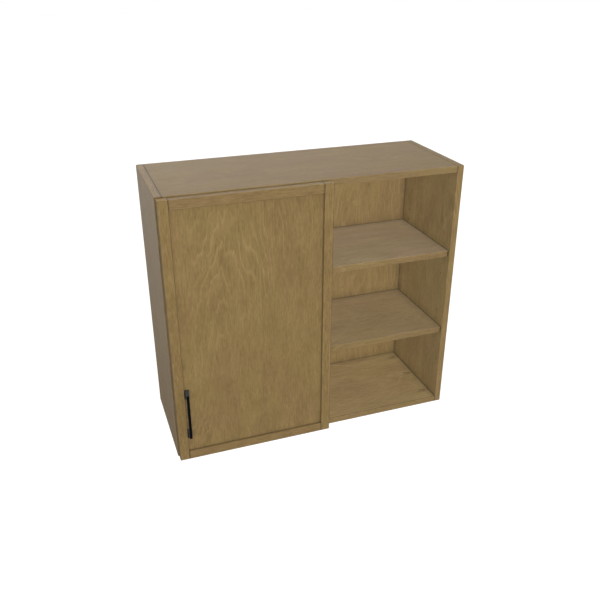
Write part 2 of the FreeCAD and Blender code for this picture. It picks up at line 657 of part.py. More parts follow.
def hinge_cup(z):
    """The cup in the door: a round pocket, a flange with two ears and the seats of the pivot pin."""
    body_radius = CUP_BORE_RADIUS - CUP_BODY_GAP
    hollow_radius = body_radius - CUP_WALL
    bottom = DOOR_BACK - CUP_BORE_DEPTH + CUP_BODY_GAP
    floor_top = bottom + CUP_FLOOR
    face = DOOR_BACK + FLANGE_THICKNESS
    body = rod(CUP_X, bottom, z, ALONG_Y, face - bottom, body_radius)
    flange = rod(CUP_X, DOOR_BACK, z, ALONG_Y, FLANGE_THICKNESS, FLANGE_RADIUS)
    ear_x = CUP_X - CUP_SCREW_OFFSET
    pieces = [body, flange]
    for sign in (-1, 1):
        ear_z = z + sign * CUP_SCREW_SPACING / 2
        pieces.append(rod(ear_x, DOOR_BACK, ear_z, ALONG_Y, FLANGE_THICKNESS, FLANGE_EAR_RADIUS))
    pieces.append(box(ear_x - FLANGE_EAR_RADIUS, ear_x + FLANGE_EAR_RADIUS, DOOR_BACK, face,
                      z - CUP_SCREW_SPACING / 2, z + CUP_SCREW_SPACING / 2))
    cup = join(pieces)
    hollow = rod(CUP_X, floor_top, z, ALONG_Y, face - floor_top, hollow_radius)
    knuckle_room = KNUCKLE_HALF_LENGTH + KNUCKLE_POCKET_GAP
    pocket = box(CUP_X, PIVOT_X + KNUCKLE_RADIUS + KNUCKLE_POCKET_GAP, floor_top, face,
                 z - knuckle_room, z + knuckle_room)
    cup = cup.cut([hollow, pocket])
    lugs = rod(PIVOT_X, PIVOT_Y, z - PIN_HALF_LENGTH, ALONG_Z, 2 * PIN_HALF_LENGTH, PIN_LUG_RADIUS)
    feet = box(PIVOT_X - PIN_LUG_RADIUS, PIVOT_X + PIN_LUG_RADIUS, bottom, PIVOT_Y,
               z - PIN_HALF_LENGTH, z + PIN_HALF_LENGTH)
    cup = join([cup, lugs.fuse(feet).common(body).cut(pocket)])
    seat_radius = PIN_RADIUS + PIN_SEAT_GAP
    seat = rod(PIVOT_X, PIVOT_Y, z - PIN_HALF_LENGTH, ALONG_Z, 2 * PIN_HALF_LENGTH, seat_radius)
    screw_holes = [rod(x, DOOR_BACK, screw_z, ALONG_Y, FLANGE_THICKNESS, CUP_SCREW_RADIUS + FIT_GAP)
                   for x, screw_z in cup_screw_places()]
    return cup.cut([seat] + screw_holes)


def cup_screw(x, z):
    """A short wood screw with a low round head."""
    face = DOOR_BACK + FLANGE_THICKNESS
    grip = CUP_SCREW_LENGTH - SCREW_TIP_LENGTH
    head = rod(x, face, z, ALONG_Y, CUP_SCREW_HEAD_HEIGHT, CUP_SCREW_HEAD_RADIUS)
    shank = rod(x, face, z, ALONG_Y, -(FLANGE_THICKNESS + grip), CUP_SCREW_RADIUS)
    tip = cone(x, DOOR_BACK - grip, z, ALONG_Y, -SCREW_TIP_LENGTH, CUP_SCREW_RADIUS, SCREW_TIP_RADIUS)
    crown = face + CUP_SCREW_HEAD_HEIGHT
    return join([head, shank, tip]).cut(driver_cross(x, crown, z, ALONG_Y, -1, CUP_SCREW_HEAD_RADIUS))


def pivot_pin(z):
    """The pin that the knuckle turns on, held in the cup's walls."""
    return rod(PIVOT_X, PIVOT_Y, z - PIN_HALF_LENGTH, ALONG_Z, 2 * PIN_HALF_LENGTH, PIN_RADIUS)


def arm_left_face():
    """X of the outside of the arm's long leg, which lies on the mounting plate."""
    return MULLION_LEFT - PLATE_THICKNESS - ARM_THICKNESS


def hinge_arm(z):
    """A bent strip: knuckle in the cup, hook round the mullion's corner, leg along its face."""
    t = ARM_THICKNESS
    low = PIVOT_Y - KNUCKLE_RADIUS
    hook = MULLION_LEFT - ARM_HOOK_FROM_MULLION
    leg = arm_left_face()
    jog = FRONT + ARM_JOG_SETBACK
    end = FRONT + ARM_END_SETBACK
    outline = [(PIVOT_X, low), (hook, low), (hook, jog + t), (leg, jog + t), (leg, end), (leg + t, end),
               (leg + t, jog), (hook + t, jog), (hook + t, low + t), (PIVOT_X, low + t), (PIVOT_X, low)]
    points = [FreeCAD.Vector(x, y, z - ARM_HALF_WIDTH) for x, y in outline]
    strip = Part.Face(Part.makePolygon(points)).extrude(ALONG_Z * (2 * ARM_HALF_WIDTH))
    inside = [(leg, jog + t), (hook + t, jog), (hook + t, low + t)]
    outside = [(hook, low), (hook, jog + t), (leg + t, jog)]
    for corners, radius in ((inside, ARM_BEND_INSIDE), (outside, ARM_BEND_INSIDE + t)):
        strip = softened(strip, radius, lambda point: near(point.z, z)
                         and any(near(point.x, x) and near(point.y, y) for x, y in corners))
    knuckle = rod(PIVOT_X, PIVOT_Y, z - KNUCKLE_HALF_LENGTH, ALONG_Z, 2 * KNUCKLE_HALF_LENGTH,
                  KNUCKLE_RADIUS)
    pieces = [strip, knuckle]
    for sign in (-1, 1):
        edge = z + sign * ARM_HALF_WIDTH
        inner = edge - sign * ARM_RIB_THICKNESS
        pieces.append(box(leg - ARM_RIB_HEIGHT, leg + t, FRONT + ARM_RIB_START, end,
                          min(edge, inner), max(edge, inner)))
    arm = join(pieces)
    reliefs = []
    for sign in (-1, 1):
        start = z + sign * KNUCKLE_HALF_LENGTH
        finish = z + sign * (ARM_HALF_WIDTH + OVERCUT)
        reliefs.append(box(PIVOT_X - ARM_KNUCKLE_RELIEF, PIVOT_X + KNUCKLE_RADIUS, low - OVERCUT,
                           PIVOT_Y + KNUCKLE_RADIUS, min(start, finish), max(start, finish)))
    bore_radius = PIN_RADIUS + PIN_RUNNING_GAP
    bore = rod(PIVOT_X, PIVOT_Y, z - ARM_HALF_WIDTH, ALONG_Z, 2 * ARM_HALF_WIDTH, bore_radius)
    holes = [rod(leg, FRONT + setback, z, ALONG_X, t, ADJUSTER_RADIUS + FIT_GAP)
             for setback in ADJUSTER_SETBACKS]
    return arm.cut(reliefs + [bore] + holes)


def plate_screw_zs(z):
    """Heights of the two screws of one mounting plate."""
    return [z - PLATE_SCREW_SPACING / 2, z + PLATE_SCREW_SPACING / 2]


def hinge_plate(z):
    """The mounting plate on the mullion, with a wing for a screw above and below the arm."""
    x0 = MULLION_LEFT - PLATE_THICKNESS
    x1 = MULLION_LEFT
    y = FRONT + PLATE_SCREW_SETBACK
    strip = box(x0, x1, FRONT + PLATE_START, FRONT + PLATE_END,
                z - PLATE_HALF_HEIGHT, z + PLATE_HALF_HEIGHT)
    wing_end = PLATE_WING_HALF_HEIGHT - PLATE_WING_HALF_WIDTH
    wing = box(x0, x1, y - PLATE_WING_HALF_WIDTH, y + PLATE_WING_HALF_WIDTH, z - wing_end, z + wing_end)
    rounds = [rod(x0, y, z + sign * wing_end, ALONG_X, PLATE_THICKNESS, PLATE_WING_HALF_WIDTH)
              for sign in (-1, 1)]
    plate = join([strip, wing] + rounds)
    holes = [rod(x0, y, screw_z, ALONG_X, PLATE_THICKNESS, PLATE_SCREW_RADIUS + FIT_GAP)
             for screw_z in plate_screw_zs(z)]
    holes += [rod(x0, FRONT + setback, z, ALONG_X, PLATE_THICKNESS, ADJUSTER_RADIUS + FIT_GAP)
              for setback in ADJUSTER_SETBACKS]
    return plate.cut(holes)


def plate_screw(z):
    """A wood screw that holds a mounting plate on the mullion."""
    face = MULLION_LEFT - PLATE_THICKNESS
    y = FRONT + PLATE_SCREW_SETBACK
    grip = PLATE_SCREW_LENGTH - SCREW_TIP_LENGTH
    head = rod(face, y, z, ALONG_X, -PLATE_SCREW_HEAD_HEIGHT, PLATE_SCREW_HEAD_RADIUS)
    shank = rod(face, y, z, ALONG_X, PLATE_THICKNESS + grip, PLATE_SCREW_RADIUS)
    tip = cone(MULLION_LEFT + grip, y, z, ALONG_X, SCREW_TIP_LENGTH, PLATE_SCREW_RADIUS, SCREW_TIP_RADIUS)
    crown = face - PLATE_SCREW_HEAD_HEIGHT
    return join([head, shank, tip]).cut(driver_cross(crown, y, z, ALONG_X, 1, PLATE_SCREW_HEAD_RADIUS))


def adjuster(z, setback):
    """A screw that clamps or shifts the arm on its mounting plate."""
    face = arm_left_face()
    y = FRONT + setback
    head = rod(face, y, z, ALONG_X, -ADJUSTER_HEAD_HEIGHT, ADJUSTER_HEAD_RADIUS)
    shank = rod(face, y, z, ALONG_X, ARM_THICKNESS + PLATE_THICKNESS, ADJUSTER_RADIUS)
    crown = face - ADJUSTER_HEAD_HEIGHT
    return join([head, shank]).cut(driver_cross(crown, y, z, ALONG_X, 1, ADJUSTER_HEAD_RADIUS))


# Carcass
save("left_side", side_board(-1))
save("right_side", side_board(1))
save("top_panel", level_board(1))
save("bottom_panel", level_board(-1))
save("back_panel", back_board())
save("back_screws", [back_screw(x, z) for x, z in back_screw_places()])
save("hinge_mullion", mullion())

housings = []
bolts = []
dowels = []
for joint in corner_joints():
    side_sign, level_sign, side_face, panel_face = joint
    housings += [connector_housing(*joint, FRONT + setback) for setback in connector_setbacks()]
    bolts += [connector_bolt(*joint, FRONT + setback) for setback in connector_setbacks()]
    dowels += [dowel(side_face, FRONT + setback, panel_face + level_sign * BOARD / 2, ALONG_X, side_sign)
               for setback in dowel_setbacks()]
save("connector_housings", housings)
save("connector_bolts", bolts)
save("panel_dowels", dowels)
save("mullion_dowels", [dowel(mullion_middle(), y, z, ALONG_Z, way)
                        for y in mullion_dowel_ys() for z, way in ((INNER_BOTTOM, -1), (INNER_TOP, 1))])

# Shelves
for name, height in SHELF_HEIGHTS.items():
    save(name, shelf(height))
save("shelf_pins", [shelf_pin(sign, setback, height) for sign in (-1, 1)
                    for setback in pin_row_setbacks() for height in SHELF_HEIGHTS.values()])

# Door
save("door_left_stile", stile(DOOR_LEFT, FIELD_LEFT))
save("door_right_stile", stile(DOOR_RIGHT, FIELD_RIGHT).cut(cup_bores()))
save("door_top_rail", rail(DOOR_TOP, FIELD_TOP))
save("door_bottom_rail", rail(DOOR_BOTTOM, FIELD_BOTTOM))
save("door_panel", door_panel())
save("door_bumpers", [bumper(z) for z in (DOOR_BOTTOM + BUMPER_INSET_Z, DOOR_TOP - BUMPER_INSET_Z)])
save("door_pull", pull())
save("pull_screws", [pull_screw(z) for z in pull_screw_zs()])

# Hinges
for name, z in HINGE_HEIGHTS.items():
    save(name + "_hinge_cup", hinge_cup(z))
    save(name + "_hinge_arm", hinge_arm(z))
    save(name + "_hinge_plate", hinge_plate(z))
save("hinge_pins", [pivot_pin(z) for z in HINGE_HEIGHTS.values()])
save("cup_screws", [cup_screw(x, z) for x, z in cup_screw_places()])
save("plate_screws", [plate_screw(screw_z) for z in HINGE_HEIGHTS.values()
                      for screw_z in plate_screw_zs(z)])
save("hinge_adjusters", [adjuster(z, setback) for z in HINGE_HEIGHTS.values()
                         for setback in ADJUSTER_SETBACKS])
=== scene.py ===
import bpy
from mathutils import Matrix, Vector


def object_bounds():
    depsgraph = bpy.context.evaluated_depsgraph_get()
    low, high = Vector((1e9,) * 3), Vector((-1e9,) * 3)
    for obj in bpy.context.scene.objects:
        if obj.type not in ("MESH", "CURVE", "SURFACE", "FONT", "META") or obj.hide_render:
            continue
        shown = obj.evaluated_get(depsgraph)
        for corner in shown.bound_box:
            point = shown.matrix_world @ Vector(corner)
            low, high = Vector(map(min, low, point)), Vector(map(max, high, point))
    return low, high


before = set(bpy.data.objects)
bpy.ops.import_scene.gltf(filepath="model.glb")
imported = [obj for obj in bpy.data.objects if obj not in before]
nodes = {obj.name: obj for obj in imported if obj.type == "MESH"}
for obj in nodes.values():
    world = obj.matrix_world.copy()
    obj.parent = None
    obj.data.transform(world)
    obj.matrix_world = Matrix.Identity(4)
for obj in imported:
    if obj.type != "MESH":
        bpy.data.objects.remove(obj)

cad_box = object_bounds()
scene = bpy.context.scene

# Colours in linear RGB
WHITE = (1.0, 1.0, 1.0)
DOOR_STAIN = (0.243, 0.162, 0.063)
LEFT_STILE_STAIN = (0.251, 0.168, 0.069)
RIGHT_STILE_STAIN = (0.253, 0.169, 0.069)
TOP_RAIL_STAIN = (0.243, 0.162, 0.070)
BOTTOM_RAIL_STAIN = (0.243, 0.159, 0.067)
# The left stile's edge stain is darker than its face: painted shade on its left face
LEFT_STILE_SHADED_EDGE_STAIN = (0.126, 0.083, 0.032)
RAIL_EDGE_STAIN = (0.212, 0.141, 0.061)
# The top's and the left side's outer stains are darker than the other outside faces: painted shade
TOP_SHADED_STAIN = (0.191, 0.122, 0.045)
LEFT_SHADED_STAIN = (0.180, 0.119, 0.049)
OUTSIDE_STAIN = (0.240, 0.160, 0.064)
# The inside stains are lighter than the outside ones: painted light inside the cabinet
INSIDE_LIT_STAIN = (0.310, 0.227, 0.111)
LOWER_SHELF_LIT_STAIN = (0.273, 0.197, 0.105)
UPPER_SHELF_LIT_STAIN = (0.304, 0.232, 0.143)
BOTTOM_LIT_STAIN = (0.302, 0.217, 0.102)
BACK_LIT_STAIN = (0.286, 0.197, 0.088)
EDGE_STAIN = (0.264, 0.178, 0.076)
# The top's edge stain is lighter: a painted highlight along its front edge
TOP_EDGE_HIGHLIT_STAIN = (0.271, 0.187, 0.086)
# The left side's edge stain is darker: painted shade in the gap beside the door
LEFT_EDGE_SHADED_STAIN = (0.208, 0.142, 0.069)
RIGHT_EDGE_STAIN = (0.285, 0.193, 0.084)
BEECH = (0.62, 0.46, 0.28)
# The dark of painted shade in hollows and gaps, and of joint and glue lines
PAINTED_SHADE_AND_LINE_DARK = (0.030, 0.025, 0.018)
PULL_BLACK = (0.0022, 0.0022, 0.0022)
NICKEL = (0.48, 0.47, 0.45)
TINTED_PLASTIC = (0.22, 0.150, 0.066)
BUMPER_WHITE = (0.72, 0.72, 0.69)

# Widths in metres of lines and of lighter edges (worn stain with a painted highlight), and how far painted
# shade reaches out of a corner
JOINT_LINE = 0.0052
GLUE_LINE = 0.0030
BAND_THICKNESS = 0.0014
ARRIS_BAND = 0.0060
RUBBED_HIGHLIGHT_WIDTH = 0.003
SLIGHTLY_RUBBED_HIGHLIGHT_WIDTH = 0.001
CORNER_SHADE_REACH = 0.032
HOLLOW_SHADE_REACH = 0.004
FINISH_SHADE_REACH = 0.003
PULL_SHADE_REACH = 0.008
OCCLUSION_SAMPLES = 8

# Noise cells per metre of wood: across the grain, into the board and along the grain
BEND_CELLS = (5.0, 5.0, 1.6)
SWAY_CELLS = (44.0, 44.0, 9.0)
PATCH_CELLS = (8.0, 8.0, 4.0)
FIBRE_CELLS = (760.0, 760.0, 60.0)
STREAK_CELLS = (230.0, 230.0, 24.0)
BAND_CELLS = (60.0, 60.0, 5.0)
PORE_CELLS = (1500.0, 1500.0, 75.0)
BLOTCH_CELLS = (26.0, 26.0, 12.0)
HUE_CELLS = (30.0, 30.0, 6.0)
CLOUD_CELLS = (9.0, 9.0, 4.5)
SEED_SHIFT = (0.37, 0.53, 1.71)

# Growth rings: how far noise bends them, how they widen off the pith and taper along the trunk
RING_BEND = 0.22
RING_SWAY = 0.020
RING_WIDENING = 0.5
RING_TAPER = 0.11
RINGS_PER_METRE = 112.0
RING_MIDDLE = 0.35
RING_TONES = [(0.0, 0.25), (0.5, 0.30), (0.76, 1.0), (0.94, 0.10), (1.0, 0.25)]
RING_PATCHES = [(0.49, 0.05), (0.66, 1.0)]

# How much each kind of grain adds to the tone, and the tints that the tone goes through
RING_WEIGHT = 0.36
FIBRE_WEIGHT = 1.1
STREAK_WEIGHT = 0.95
BAND_WEIGHT = 0.30
BLOTCH_WEIGHT = 0.50
CLOUD_WEIGHT = -0.20
HUE_WARMTH = 0.4
CLOUD_WARMTH = 0.9
WARM_PATCHES = [(0.58, 0.0), (0.72, 1.0)]
GOLDEN_TINTS = [(0.0, (0.62, 0.61, 0.54)), (0.5, (1.0, 1.02, 0.97)), (1.0, (1.36, 1.40, 1.46))]
RUDDY_TINTS = [(0.0, (0.625, 0.592, 0.55)), (0.5, (1.005, 0.992, 1.00)), (1.0, (1.365, 1.37, 1.48))]
PORE_TINT = (0.42, 0.42, 0.42)
PORE_DARKNESS = 0.34
PORE_CUT = [(0.0, 0.0), (0.32, 0.0), (0.42, 1.0), (1.0, 1.0)]

# Tones from the middle of a line, or the depth of a corner, out to the plain wood. The corner and hollow
# tones are painted shade, the worn-edge tones worn stain with a painted highlight, and the arris tones a dark
# line with a lighter band beside it.
ARRIS_LINE_AND_HIGHLIGHT_TONES = [(0.0, 0.16), (0.17, 0.32), (0.26, 1.10), (0.7, 1.10), (1.0, 1.0)]
RUBBED_HIGHLIGHT_TONES = [(0.45, 1.14), (0.8, 1.05), (1.0, 1.0)]
CORNER_SHADE_TONES = [(0.38, 0.72), (0.8, 0.93), (1.0, 1.0)]
HOLLOW_SHADE_TONES = [(0.0, 0.06), (0.3, 0.20), (0.5, 0.48), (0.8, 0.84), (0.98, 1.0)]
JOINT_TONES = [(0.0, 0.05), (0.14, 0.32), (0.5, 0.74), (1.0, 1.0)]
GLUE_TONES = [(0.0, 0.15), (0.15, 0.40), (0.5, 0.80), (1.0, 1.0)]
INNER_JOINT_FLOOR = 0.55
END_TONE = 0.82

# Lacquer and surface of the wood
WOOD_GLOSS = 0.46
WOOD_SHINE = 0.12
GLOSS_SPREAD = (-0.08, 0.16)
FIBRE_HEIGHT = 0.6
PORE_HEIGHT = 0.5
WOOD_BUMP = 0.25
WOOD_BUMP_DEPTH = 0.0003

# A face looks along an axis when its normal has more than this along it
FACE_COSINE = 0.8


def scaled(values, factor):
    return tuple(value * factor for value in values)


def opaque(colour):
    return (*colour, 1.0)


class Tree:
    """Short calls for building a node tree."""

    def __init__(self, node_tree):
        self.nodes = node_tree.nodes
        self.links = node_tree.links

    def feed(self, socket, value):
        """Link an output socket to an input, or set a plain value on it."""
        if isinstance(value, bpy.types.NodeSocket):
            self.links.new(value, socket)
        else:
            socket.default_value = value

    def add(self, kind, **settings):
        node = self.nodes.new(kind)
        for key, value in settings.items():
            setattr(node, key, value)
        return node

    def math(self, operation, a, b=0.0, clamp=False):
        node = self.add("ShaderNodeMath", operation=operation, use_clamp=clamp)
        self.feed(node.inputs[0], a)
        self.feed(node.inputs[1], b)
        return node.outputs[0]

    def vector(self, operation, a, b=(0.0, 0.0, 0.0)):
        node = self.add("ShaderNodeVectorMath", operation=operation)
        self.feed(node.inputs[0], a)
        self.feed(node.inputs[1], b)
        return node.outputs["Value"] if operation == "LENGTH" else node.outputs[0]

    def split(self, vector):
        node = self.add("ShaderNodeSeparateXYZ")
        self.feed(node.inputs[0], vector)
        return node.outputs[0], node.outputs[1], node.outputs[2]

    def join(self, x, y, z):
        node = self.add("ShaderNodeCombineXYZ")
        for socket, value in zip(node.inputs, (x, y, z)):
            self.feed(socket, value)
        return node.outputs[0]

    def noise(self, vector, scale=1.0, detail=2.0, roughness=0.5):
        node = self.add("ShaderNodeTexNoise", noise_dimensions="3D")
        self.feed(node.inputs["Vector"], vector)
        node.inputs["Scale"].default_value = scale
        node.inputs["Detail"].default_value = detail
        node.inputs["Roughness"].default_value = roughness
        return node.outputs["Fac"]

    def cells(self, vector, counts, detail=2.0, roughness=0.5):
        """Noise with its own number of cells per metre along each axis."""
        return self.noise(self.vector("MULTIPLY", vector, counts), detail=detail, roughness=roughness)

    def ramp(self, value, stops, interpolation="LINEAR"):
        """A colour ramp from (position, grey or colour) stops."""
        node = self.add("ShaderNodeValToRGB")
        self.feed(node.inputs[0], value)
        ramp = node.color_ramp
        ramp.interpolation = interpolation
        while len(ramp.elements) < len(stops):
            ramp.elements.new(0.5)
        for element, (position, tone) in zip(ramp.elements, stops):
            element.position = position
            element.color = opaque((tone, tone, tone) if isinstance(tone, float) else tone)
        return node.outputs[0]

    def mix(self, factor, a, b, blend="MIX"):
        node = self.add("ShaderNodeMix", data_type="RGBA", blend_type=blend)
        self.feed(node.inputs[0], factor)
        self.feed(node.inputs[6], a)
        self.feed(node.inputs[7], b)
        return node.outputs[2]

    def times(self, colour, tone):
        return self.mix(1.0, colour, tone, "MULTIPLY")

    def mix_vector(self, factor, a, b):
        node = self.add("ShaderNodeMix", data_type="VECTOR")
        self.feed(node.inputs[0], factor)
        self.feed(node.inputs[4], a)
        self.feed(node.inputs[5], b)
        return node.outputs[1]

    def remap(self, value, low, high):
        """A value from 0..1 moved to low..high."""
        return self.math("ADD", self.math("MULTIPLY", value, high - low), low)

    def swing(self, value, amount):
        """A value round one half, turned into an amount to either side of nothing."""
        return self.math("MULTIPLY", self.math("SUBTRACT", value, 0.5), amount)

    def apart(self, value, place, width):
        """How far a coordinate is from a place, up to 1 at the width."""
        distance = self.math("ABSOLUTE", self.math("SUBTRACT", value, place))
        return self.math("DIVIDE", distance, width, clamp=True)

    def occlusion(self, reach, **settings):
        node = self.add("ShaderNodeAmbientOcclusion", samples=OCCLUSION_SAMPLES, **settings)
        node.inputs["Distance"].default_value = reach
        return node.outputs["AO"]

    def seen(self):
        """1 where a thing is seen by the camera, in a reflection or through glass."""
        path = self.add("ShaderNodeLightPath")
        seen = self.math("MAXIMUM", path.outputs["Is Camera Ray"], path.outputs["Is Glossy Ray"])
        return self.math("MAXIMUM", seen, path.outputs["Is Transmission Ray"])


class Finish(Tree):
    """The node tree of a new material."""

    def __init__(self, name):
        self.material = bpy.data.materials.new(name)
        self.material.use_nodes = True
        super().__init__(self.material.node_tree)
        self.shader = self.nodes["Principled BSDF"]
        self.output = self.nodes["Material Output"]
        self.coords = self.add("ShaderNodeTexCoord")

    def give(self, socket, value):
        self.feed(self.shader.inputs[socket], value)

    def bump(self, height, strength, distance):
        node = self.add("ShaderNodeBump")
        node.inputs["Strength"].default_value = strength
        node.inputs["Distance"].default_value = distance
        self.feed(node.inputs["Height"], height)
        self.give("Normal", node.outputs[0])


class Wood(Finish):
    """The finish of one board, which knows where its flat faces, ends and outside are."""

    def __init__(self, name, thin, grain, outer_way):
        super().__init__(name)
        self.thin = thin
        self.grain = grain
        self.place = dict(zip("XYZ", self.split(self.coords.outputs["Object"])))
        normal = dict(zip("XYZ", self.split(self.coords.outputs["Normal"])))
        self.is_end = self.math("GREATER_THAN", self.math("ABSOLUTE", normal[grain]), FACE_COSINE)
        self.is_face = self.math("GREATER_THAN", self.math("ABSOLUTE", normal[thin]), FACE_COSINE)
        self.is_outer = None
        if outer_way is not None:
            outward = self.math("MULTIPLY", normal[thin], outer_way)
            self.is_outer = self.math("GREATER_THAN", outward, FACE_COSINE)

    def grain_place(self, end_grain, seed):
        """Coordinates with the grain along their third axis, shifted to give each board its own figure."""
        x, y, z = self.place["X"], self.place["Y"], self.place["Z"]
        across = {"X": (y, z, x), "Y": (x, z, y), "Z": (x, y, z)}
        place = self.mix_vector(self.is_end, self.join(*across[self.grain]), self.join(*across[end_grain]))
        return self.vector("ADD", place, scaled(SEED_SHIFT, seed))

    def arches(self, place, seed, pith, depth):
        """Growth rings: cones round a pith behind the board, bent by noise, so flat faces show arches."""
        u, _, v = self.split(place)
        off_pith = self.math("SUBTRACT", u, seed * SEED_SHIFT[0] + pith)
        off_pith = self.math("ADD", off_pith, self.swing(self.cells(place, BEND_CELLS), RING_BEND))
        ring = self.math("MULTIPLY", self.vector("LENGTH", self.join(off_pith, depth, 0.0)), RING_WIDENING)
        ring = self.math("ADD", ring, self.math("MULTIPLY", v, RING_TAPER))
        ring = self.math("ADD", ring, self.swing(self.cells(place, SWAY_CELLS), RING_SWAY))
        phase = self.math("FRACT", self.math("MULTIPLY", ring, RINGS_PER_METRE))
        rings = self.ramp(phase, RING_TONES, "EASE")
        shown = self.ramp(self.cells(place, PATCH_CELLS), RING_PATCHES)
        return self.math("MULTIPLY", self.math("SUBTRACT", rings, RING_MIDDLE), shown)

    def grain_tint(self, place, arches, figure, streaks):
        """Fibres, pores and stain that took unevenly, as a tint to multiply the stain by."""
        self.fibre = self.cells(place, FIBRE_CELLS, detail=3.0, roughness=0.6)
        self.streak = self.cells(place, STREAK_CELLS, detail=3.0, roughness=0.6)
        self.pores = self.ramp(self.cells(place, PORE_CELLS, detail=1.0), PORE_CUT)
        band = self.cells(place, BAND_CELLS)
        blotch = self.cells(place, BLOTCH_CELLS, detail=3.0, roughness=0.55)
        hue = self.cells(place, HUE_CELLS, detail=3.0, roughness=0.6)
        cloud = self.cells(place, CLOUD_CELLS)
        weights = (
            (self.fibre, FIBRE_WEIGHT * streaks),
            (self.streak, STREAK_WEIGHT * streaks),
            (band, BAND_WEIGHT),
            (blotch, BLOTCH_WEIGHT * figure),
            (cloud, CLOUD_WEIGHT),
        )
        tone = self.math("MULTIPLY", arches, RING_WEIGHT * figure)
        for part, weight in weights:
            tone = self.math("ADD", tone, self.swing(part, weight))
        tone = self.math("ADD", tone, 0.5, clamp=True)
        warmth = self.math("MULTIPLY", hue, HUE_WARMTH)
        warmth = self.math("ADD", warmth, self.math("MULTIPLY", cloud, CLOUD_WARMTH))
        golden = self.ramp(tone, GOLDEN_TINTS)
        ruddy = self.ramp(tone, RUDDY_TINTS)
        tint = self.mix(self.ramp(warmth, WARM_PATCHES), golden, ruddy)
        return self.mix(self.remap(self.pores, PORE_DARKNESS, 0.0), tint, opaque(PORE_TINT))

    def stained(self, tint, stain, outer_stain, edge_stain, end_tone):
        """The tint in the stain of each face: inside, outside, edge or end."""
        face = opaque(stain)
        if self.is_outer is not None:
            face = self.mix(self.is_outer, face, opaque(outer_stain))
        rim = self.mix(self.is_end, opaque(edge_stain), opaque(scaled(edge_stain, end_tone)))
        return self.times(tint, self.mix(self.is_face, rim, face))

    def from_ends(self, ends):
        """How far it is along the grain to the nearer of two joints, up to 1 at the width of a joint line."""
        start, end = ends
        off_middle = self.math("ABSOLUTE", self.math("SUBTRACT", self.place[self.grain], (start + end) / 2))
        return self.apart((end - start) / 2, off_middle, JOINT_LINE)

    def with_arris(self, colour, arris):
        """A dark line with a lighter band beside it, along an edge at a place along X, on the flat face or
        the end beside it: painted shade and a painted highlight on the door's right stile, a joint line along
        the inner edge of the right side's ends.
        """
        tone = self.ramp(self.apart(self.place["X"], arris, ARRIS_BAND), ARRIS_LINE_AND_HIGHLIGHT_TONES)
        beside = self.is_end if self.thin == "X" else self.is_face
        return self.mix(beside, colour, self.times(colour, tone))

    def rubbed_and_highlit(self, colour, width, from_joint):
        """Lighter on the sharp outer edges but not in a joint: worn stain and a painted highlight where the
        edges catch light.
        """
        tone = self.ramp(self.occlusion(width, inside=True, only_local=True), RUBBED_HIGHLIGHT_TONES)
        return self.mix(from_joint, colour, self.times(colour, tone))

    def with_painted_shade_and_lines(self, colour, from_joint, front):
        """Painted shade darkens corners a little over a wide band and much more in narrow hollows and gaps,
        and dark joint lines and glue lines are drawn in.
        """
        # Painted shade: a little over a wide band out of corners, much more in narrow hollows and gaps
        colour = self.times(colour, self.ramp(self.occlusion(CORNER_SHADE_REACH), CORNER_SHADE_TONES))
        free_of_shade_and_lines = self.ramp(self.occlusion(HOLLOW_SHADE_REACH), HOLLOW_SHADE_TONES)
        if from_joint is not None:
            line = from_joint
            if self.is_outer is not None:
                is_inner = self.math("SUBTRACT", self.is_face, self.is_outer, clamp=True)
                line = self.math("MAXIMUM", line, self.math("MULTIPLY", is_inner, INNER_JOINT_FLOOR))
            free_of_shade_and_lines = self.math("MULTIPLY", free_of_shade_and_lines, self.ramp(line, JOINT_TONES))
        if front is not None:
            glue = self.apart(self.place["Y"], front + BAND_THICKNESS, GLUE_LINE)
            glue = self.math("MAXIMUM", glue, self.math("SUBTRACT", 1.0, self.is_face))
            free_of_shade_and_lines = self.math("MULTIPLY", free_of_shade_and_lines, self.ramp(glue, GLUE_TONES))
        return self.mix(free_of_shade_and_lines, opaque(PAINTED_SHADE_AND_LINE_DARK), colour)

    def lacquer(self, shine, slope, end_shine):
        """The shine: plain, sloping along the outer face or the edges, or with its own value on the ends."""
        if slope:
            axis, start, end, low, high = slope
            along = self.math("SUBTRACT", self.place[axis], start)
            share = self.math("DIVIDE", along, end - start, clamp=True)
            sloped = self.math("MULTIPLY", self.math("POWER", high / low, share), low)
            where = self.is_outer
            if where is None:
                off_face = self.math("SUBTRACT", 1.0, self.is_face)
                where = self.math("SUBTRACT", off_face, self.is_end, clamp=True)
            extra = self.math("MULTIPLY", self.math("SUBTRACT", sloped, shine), where)
            return self.math("ADD", extra, shine)
        if end_shine is not None:
            return self.remap(self.is_end, shine, end_shine)
        return shine


